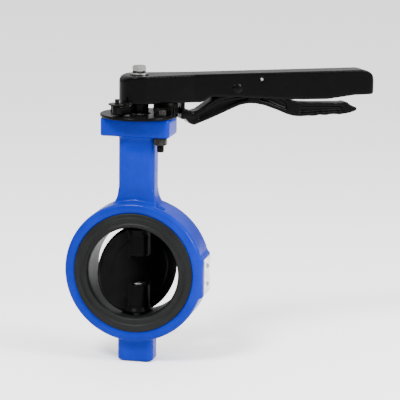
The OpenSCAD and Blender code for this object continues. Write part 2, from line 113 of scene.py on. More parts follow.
class ValveFasteners(bpy.types.PropertyGroup):
    """Sizes of the turned and pressed pieces."""
    lever_bolt_af: length("Lever bolt head", 13.0, "Width across the flats, in mm")
    lever_bolt_d: length("Lever bolt thread", 8.0, "Thread diameter, in mm")
    tapped_depth: length("Tapped depth", 14.0, "Depth of the tapped hole in the flange, in mm")
    plate_bolt_af: length("Plate bolt head", 13.0, "Width across the flats, in mm")
    plate_bolt_d: length("Plate bolt thread", 8.0, "Thread diameter, in mm")
    thread_pitch: length("Thread pitch", 1.25, "Distance between threads, in mm")
    stop_pitch: length("Stop screw pitch", 0.8, "Distance between the stop screw's threads, in mm")
    pivot_d: length("Pivot pin", 6.0, "Diameter of the trigger's pivot pin, in mm")
    pivot_head_d: length("Pivot pin head", 11.2, "Diameter of the pivot pin's head, in mm")
    grip_half: length("Half grip", 14.05, "From the lever's middle to the pivot pin's seat, in mm")
    spring_wire: length("Spring wire", 1.4, "Diameter of the trigger spring's wire, in mm")
    spring_turns: IntProperty(name="Spring turns", description="Turns of the spring", default=5, min=2)


class ValveFinish(bpy.types.PropertyGroup):
    """Colours of the finishes."""
    blue: colour("Blue enamel", (0.0, 0.010, 0.20), "Paint on the body casting")
    black: colour("Black paint", (0.0009, 0.0009, 0.001), "Paint on the lever, trigger and notch plate")
    rubber: colour("Rubber", (0.0024, 0.0026, 0.0026), "Seat rubber")
    coating: colour("Disc coating", (0.0006, 0.0006, 0.0007), "Coating on the disc")
    zinc: colour("Zinc plate", (0.24, 0.24, 0.23), "Plating on the lever's bolt and washers")
    steel: colour("Bare steel", (0.55, 0.55, 0.54), "Turned shafts and springs")
    blackened: colour("Blackened steel", (0.012, 0.012, 0.011), "The notch plate's bolts and nuts")
    tag: colour("Nameplate", (0.72, 0.72, 0.71), "Blank aluminium nameplate")
    bronze: colour("Bronze", (0.50, 0.30, 0.12), "Bushes")
    phenolic: colour("Phenolic", (0.12, 0.05, 0.02), "Backing ring behind the rubber")
    white: colour("White plastic", (0.75, 0.74, 0.70), "Thrust pad")


class ValveStage(bpy.types.PropertyGroup):
    """Camera, floor and lights."""
    yaw: FloatProperty(name="Camera yaw", description="Angle round the stem from the front view",
                       default=radians(11.89), subtype="ANGLE")
    look_down: FloatProperty(name="Camera tilt", description="Angle that the camera looks down",
                             default=radians(11.2), subtype="ANGLE")
    roll: FloatProperty(name="Camera roll", description="Camera lean, which leans the valve right",
                        default=radians(0.8), subtype="ANGLE")
    distance: FloatProperty(name="Camera distance", description="Distance from the aim point",
                            default=2.0, subtype="DISTANCE", unit="LENGTH")
    lens: FloatProperty(name="Lens", description="Focal length in mm on a 36 mm sensor", default=164.5)
    aim_side: length("Aim to the right", 67.0, "Aim point right of the pipe axis in the view, in mm", -500)
    aim_up: length("Aim upward", 75.9, "Aim point above the pipe axis in the view, in mm", -500)


def castings():
    return bpy.context.scene.valve_castings


def fasteners():
    return bpy.context.scene.valve_fasteners


def finish():
    return bpy.context.scene.valve_finish


# ---------------------------------------------------------------- mesh helpers

def clean(mesh):
    bmesh.ops.remove_doubles(mesh, verts=mesh.verts, dist=NEAR)
    bmesh.ops.recalc_face_normals(mesh, faces=mesh.faces)


def put(mesh, name, body, material, replaces=(), sharp=radians(32)):
    """Turns a bmesh into a finished piece that rides on a body."""
    for face in mesh.faces:
        face.smooth = True
    for edge in mesh.edges:
        if len(edge.link_faces) == 2 and edge.calc_face_angle(0.0) > sharp:
            edge.smooth = False
    data = bpy.data.meshes.new(name)
    mesh.to_mesh(data)
    mesh.free()
    piece = bpy.data.objects.new(name, data)
    bpy.context.scene.collection.objects.link(piece)
    data.materials.append(material)
    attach(piece, body)
    if replaces:
        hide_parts(*replaces)
    return piece


def revolve(mesh, outline, place=Matrix.Identity(4), steps=96):
    """Spins an outline of (radius, height) points in metres about Z, then places it."""
    points = [mesh.verts.new((r, 0, z)) for r, z in outline]
    closed = outline[0][0] > NEAR and outline[-1][0] > NEAR
    pairs = list(zip(points, points[1:] + points[:1] if closed else points[1:]))
    edges = [mesh.edges.new(pair) for pair in pairs]
    bmesh.ops.spin(mesh, geom=points + edges, cent=(0, 0, 0), axis=(0, 0, 1), angle=TURN,
                   steps=steps, use_merge=True, use_duplicate=False)
    verts = [v for v in mesh.verts if v.is_valid and not v.tag]
    bmesh.ops.remove_doubles(mesh, verts=verts, dist=NEAR)
    verts = [v for v in mesh.verts if not v.tag]
    bmesh.ops.transform(mesh, matrix=place, verts=verts)
    for v in verts:
        v.tag = True
    return verts


def rounded_ring(inner, outer, low, high, r):
    """Outline of a flat ring whose four edges are rounded by r."""
    def corner(cx, cz, start):
        return [(cx + r * cos(start + a * pi / 6), cz + r * sin(start + a * pi / 6)) for a in range(4)]
    return (corner(inner + r, low + r, pi) + corner(outer - r, low + r, 1.5 * pi)
            + corner(outer - r, high - r, 0) + corner(inner + r, high - r, 0.5 * pi))


def washer(mesh, centre, inner, outer, low, high, r=0.25 * MM):
    revolve(mesh, rounded_ring(inner, outer, low, high, r), Matrix.Translation(centre), steps=72)


def hexagon(mesh, centre, af, low, high, hole=0.0, both=False):
    """A hexagon head or nut with its corners chamfered at 30 degrees. Its flats face +X and -X."""
    flat = af / 2
    land = 0.95 * flat             # radius of the round land inside the chamfer
    lead_in = 0.5 * MM             # countersink of a nut's hole
    drop = tan(radians(30))

    def section(rim):
        """Points of (radius, height) at one angle, from the underside over the rim to the middle."""
        chamfer = max(0.0, rim - land) * drop
        points = [(max(hole, 0.3 * flat), low), (land, low), (rim, low + (chamfer if both else 0.0)),
                  (rim, high - chamfer), (land, high)]
        if hole:
            points += [(hole + lead_in, high), (hole, high - lead_in)]
        else:
            points += [(0.6 * flat, high), (0.5 * flat, high)]
        return points + ([(hole, low + lead_in)] if both else [])

    base = bmesh.ops.create_circle(mesh, cap_ends=False, radius=1.0, segments=72)["verts"]
    rings = [base]
    edges = [e for e in mesh.edges if all(v in set(base) for v in e.verts)]
    for _ in section(flat)[1:]:
        made = bmesh.ops.extrude_edge_only(mesh, edges=edges)["geom"]
        rings.append([g for g in made if isinstance(g, bmesh.types.BMVert)])
        edges = [g for g in made if isinstance(g, bmesh.types.BMEdge)
                 and all(len(v.link_edges) <= 3 for v in g.verts) and g.is_boundary]
        edges = [e for e in edges if all(v in set(rings[-1]) for v in e.verts)]
    for k, ring in enumerate(rings):
        for v in ring:
            a = atan2(v.co.y, v.co.x)
            corner = (a + pi / 6) % (pi / 3) - pi / 6
            r, z = section(flat / cos(corner))[k]
            v.co = (centre[0] + r * cos(a), centre[1] + r * sin(a), z + centre[2])
    if hole:
        ends = set(rings[-1]) | set(rings[0])
        bmesh.ops.bridge_loops(mesh, edges=[e for e in mesh.edges
                                            if e.is_boundary and all(v in ends for v in e.verts)])
    else:
        for ring in (rings[0], rings[-1]):
            mesh.faces.new(ring)
    verts = [v for ring in rings for v in ring]
    for v in verts:
        v.tag = True
    return verts


def threaded(mesh, centre, radius, low, high, pitch):
    """A rod with thread grooves round it and a chamfered lower end."""
    root = radius - 0.45 * pitch
    crest = radius - 0.06 * MM
    bevel = 0.2 * MM
    outline = [(0.0, low), (root - bevel, low), (root, low + bevel)]
    z = low + 3 * bevel
    while z + pitch < high:
        outline += [(root, z), (crest, z + 0.42 * pitch), (crest, z + 0.58 * pitch)]
        z += pitch
    outline += [(crest, high), (0.0, high)]
    revolve(mesh, outline, Matrix.Translation(centre), steps=64)


def softened(node, grain, passes, extra=None):
    """A cast or moulded piece: the node's solid remade in even faces, with its sharp edges rounded."""
    mesh = bmesh.new()
    mesh.from_mesh(NODES[node].data)
    bmesh.ops.remove_doubles(mesh, verts=mesh.verts, dist=NEAR)
    if extra:
        extra(mesh)
    data = bpy.data.meshes.new("blank")
    mesh.to_mesh(data)
    mesh.free()
    blank = bpy.data.objects.new("blank", data)
    bpy.context.scene.collection.objects.link(blank)
    remesh = blank.modifiers.new("remesh", "REMESH")
    remesh.mode = "VOXEL"
    remesh.voxel_size = grain
    view = bpy.context.evaluated_depsgraph_get()
    mesh = bmesh.new()
    mesh.from_mesh(blank.evaluated_get(view).to_mesh())
    bpy.data.objects.remove(blank)
    for _ in range(passes):
        bmesh.ops.smooth_vert(mesh, verts=mesh.verts, factor=0.5, use_axis_x=True, use_axis_y=True,
                              use_axis_z=True)
    return mesh


# ---------------------------------------------------------------- materials

def group_tree(name, inputs, outputs):
    tree = bpy.data.node_groups.new(name, "ShaderNodeTree")
    for title, kind, value in inputs:
        socket = tree.interface.new_socket(title, in_out="INPUT", socket_type=kind)
        if value is not None:
            socket.default_value = value
    for title, kind in outputs:
        tree.interface.new_socket(title, in_out="OUTPUT", socket_type=kind)
    return tree, tree.nodes.new("NodeGroupInput"), tree.nodes.new("NodeGroupOutput")


def maths(tree, operation, a, b=None, clamp=False):
    node = tree.nodes.new("ShaderNodeMath")
    node.operation = operation
    node.use_clamp = clamp
    for entry, value in enumerate((a, b)):
        if value is None:
            continue
        if isinstance(value, (int, float)):
            node.inputs[entry].default_value = value
        else:
            tree.links.new(value, node.inputs[entry])
    return node.outputs[0]


def noise(tree, vector, scale, detail=3.0, roughness=0.5):
    node = tree.nodes.new("ShaderNodeTexNoise")
    tree.links.new(vector, node.inputs["Vector"])
    if isinstance(scale, (int, float)):
        node.inputs["Scale"].default_value = scale
    else:
        tree.links.new(scale, node.inputs["Scale"])
    node.inputs["Detail"].default_value = detail
    node.inputs["Roughness"].default_value = roughness
    return node.outputs[0]


def span(tree, value, low, high, to_low=0.0, to_high=1.0, smooth=True):
    node = tree.nodes.new("ShaderNodeMapRange")
    node.interpolation_type = "SMOOTHSTEP" if smooth else "LINEAR"
    tree.links.new(value, node.inputs["Value"])
    for entry, number in (("From Min", low), ("From Max", high), ("To Min", to_low), ("To Max", to_high)):
        if isinstance(number, (int, float)):
            node.inputs[entry].default_value = number
        else:
            tree.links.new(number, node.inputs[entry])
    return node.outputs[0]


def edge_wear_group():
    """Mask of edges and corners, broken up by noise."""
    tree, given, out = group_tree(
        "edge_wear",
        [("Amount", "NodeSocketFloat", 0.5), ("Break Up", "NodeSocketFloat", 300.0)],
        [("Mask", "NodeSocketFloat")])
    place = tree.nodes.new("ShaderNodeTexCoord").outputs["Object"]
    point = tree.nodes.new("ShaderNodeNewGeometry").outputs["Pointiness"]
    edge = span(tree, point, 0.53, 0.62)
    speck = span(tree, noise(tree, place, given.outputs["Break Up"], 5.0, 0.65), 0.42, 0.66)
    worn = maths(tree, "MULTIPLY", edge, speck)
    tree.links.new(maths(tree, "MULTIPLY", worn, given.outputs["Amount"], clamp=True), out.inputs["Mask"])
    return tree


def settled_dust_group():
    """Mask of fine dust on faces that look up, and in hollows."""
    tree, given, out = group_tree(
        "settled_dust", [("Amount", "NodeSocketFloat", 0.3)], [("Mask", "NodeSocketFloat")])
    place = tree.nodes.new("ShaderNodeTexCoord").outputs["Object"]
    geometry = tree.nodes.new("ShaderNodeNewGeometry")
    split = tree.nodes.new("ShaderNodeSeparateXYZ")
    tree.links.new(geometry.outputs["Normal"], split.inputs[0])
    up = span(tree, split.outputs["Z"], 0.55, 1.0)
    hollow = span(tree, geometry.outputs["Pointiness"], 0.49, 0.42)
    patch = span(tree, noise(tree, place, 55.0, 4.0, 0.6), 0.35, 0.75)
    both = maths(tree, "MAXIMUM", up, maths(tree, "MULTIPLY", hollow, 0.8))
    dust = maths(tree, "MULTIPLY", both, patch)
    tree.links.new(maths(tree, "MULTIPLY", dust, given.outputs["Amount"], clamp=True), out.inputs["Mask"])
    return tree


def cast_surface_group():
    """Height of a painted casting: long waves of the sand mould under fine orange peel."""
    tree, given, out = group_tree(
        "cast_surface",
        [("Waves", "NodeSocketFloat", 0.6), ("Peel", "NodeSocketFloat", 0.3),
         ("Pits", "NodeSocketFloat", 0.2)],
        [("Height", "NodeSocketFloat")])
    place = tree.nodes.new("ShaderNodeTexCoord").outputs["Object"]
    waves = maths(tree, "MULTIPLY", noise(tree, place, 60.0, 2.0, 0.5), given.outputs["Waves"])
    peel = maths(tree, "MULTIPLY", noise(tree, place, 650.0, 2.0, 0.5), given.outputs["Peel"])
    pit = span(tree, noise(tree, place, 240.0, 3.0, 0.6), 0.30, 0.42)
    pits = maths(tree, "MULTIPLY", pit, given.outputs["Pits"])
    total = maths(tree, "ADD", maths(tree, "ADD", waves, peel), pits)
    tree.links.new(total, out.inputs["Height"])
    return tree


def smudge_group():
    """Slow changes of gloss, such as handling marks and thin oil."""
    tree, given, out = group_tree(
        "smudge",
        [("Base", "NodeSocketFloat", 0.3), ("Spread", "NodeSocketFloat", 0.1),
         ("Scale", "NodeSocketFloat", 40.0)],
        [("Roughness", "NodeSocketFloat")])
    place = tree.nodes.new("ShaderNodeTexCoord").outputs["Object"]
    slow = noise(tree, place, given.outputs["Scale"], 4.0, 0.6)
    offset = maths(tree, "MULTIPLY", maths(tree, "SUBTRACT", slow, 0.5), given.outputs["Spread"])
    tree.links.new(maths(tree, "ADD", given.outputs["Base"], offset, clamp=True), out.inputs["Roughness"])
    return tree


GROUP_MAKERS = {"edge_wear": edge_wear_group, "settled_dust": settled_dust_group,
                "cast_surface": cast_surface_group, "smudge": smudge_group}


def use_group(tree, name, **values):
    source = bpy.data.node_groups.get(name) or GROUP_MAKERS[name]()
    node = tree.nodes.new("ShaderNodeGroup")
    node.node_tree = source
    for key, value in values.items():
        node.inputs[key.replace("_", " ")].default_value = value
    return node.outputs[0]


def blend_colours(tree, mask, first, second):
    node = tree.nodes.new("ShaderNodeMix")
    node.data_type = "RGBA"
    tree.links.new(mask, node.inputs["Factor"])
    for entry, value in ((6, first), (7, second)):
        if isinstance(value, tuple):
            node.inputs[entry].default_value = value
        else:
            tree.links.new(value, node.inputs[entry])
    return node.outputs[2]


def tint(rgb, factor=1.0, lift=0.0):
    return tuple(min(1.0, c * factor + lift) for c in rgb) + (1.0,)


def start_material(name):
    material = bpy.data.materials.new(name)
    material.use_nodes = True
    tree = material.node_tree
    return material, tree, tree.nodes["Principled BSDF"]


def add_bump(tree, shader, height, strength, distance):
    bump = tree.nodes.new("ShaderNodeBump")
    bump.inputs["Strength"].default_value = strength
    bump.inputs["Distance"].default_value = distance
    tree.links.new(height, bump.inputs["Height"])
    tree.links.new(bump.outputs["Normal"], shader.inputs["Normal"])


def object_place(tree):
    return tree.nodes.new("ShaderNodeTexCoord").outputs["Object"]


def cached(maker):
    made = {}

    def get():
        if maker not in made:
            made[maker] = maker()
        return made[maker]
    return get


@cached
def blue_enamel():
    """Glossy blue paint sprayed over cast iron."""
    material, tree, shader = start_material("blue_enamel")
    rgb = finish().blue
    place = object_place(tree)
    drift = span(tree, noise(tree, place, 18.0, 3.0), 0.3, 0.7)
    paint = blend_colours(tree, drift, tint(rgb, 0.86), tint(rgb, 1.12, 0.001))
    edge = use_group(tree, "edge_wear", Amount=0.30, Break_Up=420.0)
    paint = blend_colours(tree, edge, paint, tint(rgb, 1.3, 0.015))
    dust = use_group(tree, "settled_dust", Amount=0.05)
    paint = blend_colours(tree, dust, paint, (0.08, 0.15, 0.36, 1.0))
    tree.links.new(paint, shader.inputs["Base Color"])
    tree.links.new(use_group(tree, "smudge", Base=0.27, Spread=0.16, Scale=35.0), shader.inputs["Roughness"])
    shader.inputs["Specular IOR Level"].default_value = 0.05
    shader.inputs["Coat Weight"].default_value = 0.03
    shader.inputs["Coat Roughness"].default_value = 0.12
    add_bump(tree, shader, use_group(tree, "cast_surface", Waves=0.9, Peel=0.16, Pits=0.12), 0.55, 0.0009)
    return material


@cached
def black_paint():
    """Gloss black paint over smooth castings and pressed plate."""
    material, tree, shader = start_material("black_paint")
    rgb = finish().black
    edge = use_group(tree, "edge_wear", Amount=0.20, Break_Up=500.0)
    paint = blend_colours(tree, edge, tint(rgb), tint(rgb, 3.0, 0.02))
    dust = use_group(tree, "settled_dust", Amount=0.03)
    paint = blend_colours(tree, dust, paint, (0.14, 0.14, 0.13, 1.0))
    tree.links.new(paint, shader.inputs["Base Color"])
    tree.links.new(use_group(tree, "smudge", Base=0.24, Spread=0.20, Scale=45.0), shader.inputs["Roughness"])
    shader.inputs["Specular IOR Level"].default_value = 0.04
    shader.inputs["Coat Weight"].default_value = 0.01
    shader.inputs["Coat Roughness"].default_value = 0.10
    add_bump(tree, shader, use_group(tree, "cast_surface", Waves=0.5, Peel=0.14, Pits=0.05), 0.45, 0.0007)
    return material


@cached
def disc_coating():
    """Smooth black coating on the cast disc."""
    material, tree, shader = start_material("disc_coating")
    rgb = finish().coating
    place = object_place(tree)
    drift = span(tree, noise(tree, place, 40.0, 4.0), 0.35, 0.7)
    coat = blend_colours(tree, drift, tint(rgb, 0.8), tint(rgb, 1.5, 0.0004))
    edge = use_group(tree, "edge_wear", Amount=0.45, Break_Up=380.0)
    coat = blend_colours(tree, edge, coat, (0.02, 0.02, 0.02, 1.0))
    tree.links.new(coat, shader.inputs["Base Color"])
    tree.links.new(use_group(tree, "smudge", Base=0.33, Spread=0.18, Scale=60.0), shader.inputs["Roughness"])
    shader.inputs["Specular IOR Level"].default_value = 0.03
    add_bump(tree, shader, use_group(tree, "cast_surface", Waves=0.7, Peel=0.18, Pits=0.10), 0.5, 0.0007)
    return material


@cached
def seat_rubber():
    """Moulded black rubber with a dusty bloom."""
    material, tree, shader = start_material("seat_rubber")
    rgb = finish().rubber
    place = object_place(tree)
    bloom = span(tree, noise(tree, place, 30.0, 5.0, 0.6), 0.35, 0.75)
    tone = blend_colours(tree, bloom, tint(rgb, 0.8), tint(rgb, 1.5, 0.001))
    dust = use_group(tree, "settled_dust", Amount=0.10)
    tone = blend_colours(tree, dust, tone, (0.04, 0.04, 0.04, 1.0))
    tree.links.new(tone, shader.inputs["Base Color"])
    tree.links.new(use_group(tree, "smudge", Base=0.52, Spread=0.16, Scale=50.0), shader.inputs["Roughness"])
    shader.inputs["Specular IOR Level"].default_value = 0.12
    grain = maths(tree, "ADD", noise(tree, place, 1400.0, 3.0, 0.6),
                  maths(tree, "MULTIPLY", noise(tree, place, 160.0, 2.0), 0.8))
    add_bump(tree, shader, grain, 0.25, 0.0003)
    return material


def metal(name, rgb, rough, spread, streak=(1.0, 1.0, 1.0), grain=0.2, spangle=0.0, tarnish=None):
    """Bare or plated metal: tone drift, fine tool grain stretched by streak, and tarnish in patches."""
    material, tree, shader = start_material(name)
    place = object_place(tree)
    stretch = tree.nodes.new("ShaderNodeMapping")
    stretch.inputs["Scale"].default_value = streak
    tree.links.new(place, stretch.inputs["Vector"])
    lines = noise(tree, stretch.outputs[0], 900.0, 3.0, 0.6)
    drift = span(tree, noise(tree, place, 120.0, 4.0), 0.3, 0.7)
    tone = blend_colours(tree, drift, tint(rgb, 0.78), tint(rgb, 1.12))
    if spangle:
        cells = tree.nodes.new("ShaderNodeTexVoronoi")
        cells.inputs["Scale"].default_value = 700.0
        tree.links.new(place, cells.inputs["Vector"])
        fleck = maths(tree, "MULTIPLY", cells.outputs["Distance"], spangle, clamp=True)
        tone = blend_colours(tree, fleck, tone, tint(rgb, 0.6))
    if tarnish:
        patch = span(tree, noise(tree, place, 210.0, 5.0, 0.7), 0.52, 0.72)
        tone = blend_colours(tree, patch, tone, tarnish)
    edge = use_group(tree, "edge_wear", Amount=0.5, Break_Up=600.0)
    tone = blend_colours(tree, edge, tone, tint(rgb, 1.5, 0.08))
    tree.links.new(tone, shader.inputs["Base Color"])
    shader.inputs["Metallic"].default_value = 1.0
    slow = use_group(tree, "smudge", Base=rough, Spread=spread, Scale=90.0)
    tree.links.new(maths(tree, "ADD", slow, maths(tree, "MULTIPLY", lines, 0.08), clamp=True),
                   shader.inputs["Roughness"])
    add_bump(tree, shader, lines, grain, 0.0001)
    return material


@cached
def zinc_plate():
    return metal("zinc_plate", finish().zinc, 0.30, 0.16, (1, 1, 6), 0.25, spangle=0.25,
                 tarnish=(0.33, 0.32, 0.27, 1.0))


@cached
def bright_tag():
    return metal("bright_tag", finish().tag, 0.28, 0.10, (1, 12, 1), 0.25)


@cached
def turned_steel():
    return metal("turned_steel", finish().steel, 0.22, 0.10, (0.2, 0.2, 8), 0.35)


@cached
def spring_steel():
    return metal("spring_steel", finish().steel, 0.34, 0.12, (1, 1, 1), 0.2, tarnish=(0.2, 0.19, 0.17, 1.0))


@cached
def blackened_steel():
    return metal("blackened_steel", finish().blackened, 0.36, 0.20, (1, 1, 3), 0.3,
                 tarnish=(0.035, 0.027, 0.02, 1.0))


@cached
def bush_bronze():
    return metal("bush_bronze", finish().bronze, 0.38, 0.12, (0.3, 0.3, 5), 0.3,
                 tarnish=(0.22, 0.12, 0.05, 1.0))


def plain_solid(name, rgb, rough, grain_scale, grain):
    material, tree, shader = start_material(name)
    place = object_place(tree)
    mottle = span(tree, noise(tree, place, 150.0, 5.0, 0.6), 0.3, 0.7)
    tone = blend_colours(tree, mottle, tint(rgb, 0.82), tint(rgb, 1.12))
    tree.links.new(tone, shader.inputs["Base Color"])
    tree.links.new(use_group(tree, "smudge", Base=rough, Spread=0.14, Scale=80.0), shader.inputs["Roughness"])
    add_bump(tree, shader, noise(tree, place, grain_scale, 3.0), grain, 0.0002)
    return material


@cached
def phenolic_resin():
    return plain_solid("phenolic_resin", finish().phenolic, 0.45, 500.0, 0.3)


@cached
def white_plastic():
    return plain_solid("white_plastic", finish().white, 0.4, 800.0, 0.15)


SLOT_FINISH = {
    "blue_paint": blue_enamel, "black_paint": black_paint, "disc_coating": disc_coating,
    "seat_rubber": seat_rubber, "stainless": turned_steel, "zinc_steel": zinc_plate,
    "dark_steel": blackened_steel, "aluminium_tag": bright_tag, "spring_steel": spring_steel,
    "bronze": bush_bronze, "phenolic": phenolic_resin, "white_plastic": white_plastic,
}
SLOT_OF = {row["node"]: row["material_slot"] for row in frame["record"]["subparts"]}


# ---------------------------------------------------------------- pieces

def add_neck_panel(mesh):
    """A blank raised panel on the front of the neck, where a maker casts a mark."""
    group = castings()
    flange_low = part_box("plate_nut_washer")[1].z
    low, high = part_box("body")
    ring_top = 0.5 * (high.x - low.x)
    mid = 0.5 * (flange_low + ring_top) - 1.0 * MM
    front = -14.0 * MM             # the neck's front face
    sunk = 4 * MM                  # how deep the panel reaches into the neck
    cube = bmesh.ops.create_cube(mesh, size=1.0)["verts"]
    w, h, rise = group.panel_w * MM, group.panel_h * MM, group.panel_rise * MM
    bmesh.ops.scale(mesh, vec=(w, sunk + rise, h), verts=cube)
    bmesh.ops.translate(mesh, vec=(0, front + (sunk - rise) / 2, mid), verts=cube)
    uprights = [e for e in mesh.edges if e.verts[0] in cube and e.verts[1] in cube
                and abs(e.verts[0].co.x - e.verts[1].co.x) < NEAR
                and abs(e.verts[0].co.z - e.verts[1].co.z) < NEAR]
    bmesh.ops.bevel(mesh, geom=uprights, offset=3.0 * MM, segments=4, profile=0.5, affect="EDGES",
                    material=-1)


class VALVE_OT_body_casting(bpy.types.Operator):
    """Body ring, neck, flange and foot as one painted casting"""
    bl_idname = "valve.body_casting"
    bl_label = "Body casting"

    def execute(self, context):
        group = castings()
        mesh = softened("body", group.body_grain * MM, group.body_rounding, add_neck_panel)
        put(mesh, "body_casting", BODY, blue_enamel(), ["body"], sharp=pi)
        return {"FINISHED"}


class VALVE_OT_rubber_seat(bpy.types.Operator):
    """Rubber liner with its sealing beads"""
    bl_idname = "valve.rubber_seat"
    bl_label = "Rubber seat"

    def execute(self, context):
        mesh = softened("seat", castings().part_grain * MM, 2)
        put(mesh, "rubber_seat", BODY, seat_rubber(), ["seat"], sharp=pi)
        return {"FINISHED"}


class VALVE_OT_disc_casting(bpy.types.Operator):
    """Coated disc with its shaft bosses"""
    bl_idname = "valve.disc_casting"
    bl_label = "Disc"

    def execute(self, context):
        group = castings()
        mesh = softened("disc", group.part_grain * MM, group.part_rounding)
        put(mesh, "disc_casting", ROTOR, disc_coating(), ["disc"], sharp=pi)
        return {"FINISHED"}


class VALVE_OT_lever_casting(bpy.types.Operator):
    """Lever and squeeze trigger, both painted black"""
    bl_idname = "valve.lever_casting"
    bl_label = "Lever and trigger"

    def execute(self, context):
        group = castings()
        mesh = softened("lever", group.part_grain * MM, group.part_rounding)
        put(mesh, "lever_casting", ROTOR, black_paint(), ["lever"], sharp=pi)
        mesh = softened("trigger", group.part_grain * MM, 3)
        put(mesh, "trigger_casting", TRIGGER, black_paint(), ["trigger"], sharp=pi)
        return {"FINISHED"}


class VALVE_OT_notch_plate(bpy.types.Operator):
    """Pressed plate with its upturned notched rim"""
    bl_idname = "valve.notch_plate"
    bl_label = "Notch plate"

    def execute(self, context):
        mesh = softened("notch_plate", castings().plate_grain * MM, 3)
        put(mesh, "pressed_notch_plate", BODY, black_paint(), ["notch_plate"], sharp=pi)
        return {"FINISHED"}


def split_washer(mesh, centre, inner, outer, low, high, rise=0.5 * MM):
    """A spring washer: a square bar wound once, with its two ends a little apart."""
    top = high - rise
    corners = [mesh.verts.new(p)
               for p in ((inner, 0, low), (outer, 0, low), (outer, 0, top), (inner, 0, top))]
    face = mesh.faces.new(corners)
    sweep, gap_at, steps = radians(350), radians(145), 60
    bmesh.ops.spin(mesh, geom=[face] + list(face.edges) + corners, cent=(0, 0, 0), axis=(0, 0, 1),
                   dvec=(0, 0, rise / steps), angle=sweep, steps=steps, use_duplicate=True, use_merge=False)
    verts = [v for v in mesh.verts if not v.tag]
    bmesh.ops.rotate(mesh, cent=(0, 0, 0), matrix=Matrix.Rotation(gap_at, 3, "Z"), verts=verts)
    bmesh.ops.translate(mesh, vec=centre, verts=verts)
    for v in verts:
        v.tag = True


class VALVE_OT_lever_fasteners(bpy.types.Operator):
    """Bolt, spring washer and plain washer on top of the lever"""
    bl_idname = "valve.lever_fasteners"
    bl_label = "Lever bolt and washers"

    def execute(self, context):
        low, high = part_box("lever_bolt")
        seat_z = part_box("lever_spring_washer")[1].z
        mesh = bmesh.new()
        hexagon(mesh, (0, 0, 0), fasteners().lever_bolt_af * MM, seat_z, high.z)
        thread_r = fasteners().lever_bolt_d * MM / 2
        shank = thread_r - 0.05 * MM
        into_head = seat_z + 0.5 * MM
        revolve(mesh, [(0.0, low.z), (shank - 0.35 * MM, low.z), (shank, low.z + 0.4 * MM),
                       (shank, into_head), (0.0, into_head)], steps=48)
        clean(mesh)
        put(mesh, "lever_hex_bolt", ROTOR, zinc_plate(), ["lever_bolt"])
        low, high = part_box("lever_washer")
        mesh = bmesh.new()
        washer(mesh, (0, 0, 0), thread_r + 0.3 * MM, high.x, low.z, high.z, 0.4 * MM)
        clean(mesh)
        put(mesh, "lever_plain_washer", ROTOR, zinc_plate(), ["lever_washer"])
        low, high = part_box("lever_spring_washer")
        mesh = bmesh.new()
        split_washer(mesh, (0, 0, 0), thread_r + BOLT_GAP, high.x, low.z, high.z)
        clean(mesh)
        put(mesh, "lever_split_washer", ROTOR, spring_steel(), ["lever_spring_washer"])
        return {"FINISHED"}


def plate_bolt_centres():
    """The through bolt at the front right, then the tapped one at the back left."""
    low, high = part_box("plate_bolt_washers")
    r = WASHER_SPREAD * fasteners().plate_bolt_d * MM
    return [(high.x - r, low.y + r), (low.x + r, high.y - r)]


class VALVE_OT_plate_fasteners(bpy.types.Operator):
    """Bolts, washers and nuts that hold the notch plate on the flange"""
    bl_idname = "valve.plate_fasteners"
    bl_label = "Plate bolts and nuts"

    def execute(self, context):
        group = fasteners()
        af, radius = group.plate_bolt_af * MM, group.plate_bolt_d * MM / 2
        low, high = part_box("plate_bolts")
        flange_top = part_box("notch_plate")[0].z
        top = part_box("plate_bolt_washers")
        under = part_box("plate_nut_washer")
        nut_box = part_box("plate_nut")
        inner, outer = radius + BOLT_GAP, 2 * WASHER_SPREAD * radius
        rim = 0.35 * MM
        bolts, upper, lower, nut = bmesh.new(), bmesh.new(), bmesh.new(), bmesh.new()
        for k, (x, y) in enumerate(plate_bolt_centres()):
            centre = (x, y, 0)
            hexagon(bolts, centre, af, top[1].z, high.z)
            end = low.z if k == 0 else flange_top - group.tapped_depth * MM
            threaded(bolts, centre, radius, end, top[1].z + 0.5 * MM, group.thread_pitch * MM)
            washer(upper, centre, inner, outer, top[0].z, top[1].z, rim)
            if k == 0:
                washer(lower, centre, inner, outer, under[0].z, under[1].z, rim)
                hexagon(nut, centre, af, nut_box[0].z, nut_box[1].z, hole=radius + 0.02 * MM, both=True)
        for mesh, name, node in ((bolts, "plate_hex_bolts", "plate_bolts"),
                                 (upper, "plate_washers_above", "plate_bolt_washers"),
                                 (lower, "plate_washer_below", "plate_nut_washer"),
                                 (nut, "plate_hex_nut", "plate_nut")):
            clean(mesh)
            put(mesh, name, BODY, blackened_steel(), [node])
        return {"FINISHED"}


class VALVE_OT_stop_screw(bpy.types.Operator):
    """Threaded stop screw and its large washer on the lever's head"""
    bl_idname = "valve.stop_screw"
    bl_label = "Stop screw"

    def execute(self, context):
        low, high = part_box("stop_screw")
        centre = ((low.x + high.x) / 2, (low.y + high.y) / 2, 0)
        radius = (high.x - low.x) / 2
        mesh = bmesh.new()
        threaded(mesh, centre, radius, low.z, high.z, fasteners().stop_pitch * MM)
        clean(mesh)
        put(mesh, "stop_set_screw", ROTOR, blackened_steel(), ["stop_screw"])
        wash_low, wash_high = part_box("stop_washer")
        mesh = bmesh.new()
        washer(mesh, centre, radius + 0.05 * MM, (wash_high.x - wash_low.x) / 2, wash_low.z, wash_high.z,
               0.4 * MM)
        clean(mesh)
        put(mesh, "stop_large_washer", ROTOR, blackened_steel(), ["stop_washer"])
        return {"FINISHED"}


def across_lever(centre):
    """Placement that lays a piece's Z axis along the trigger's pivot axis."""
    axis = Vector(TRIGGER_JOINT["axis"]).normalized()
    return Matrix.Translation(centre) @ axis.to_track_quat("Z", "Y").to_matrix().to_4x4()


def node_centre(node):
    low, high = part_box(node)
    return (low + high) / 2


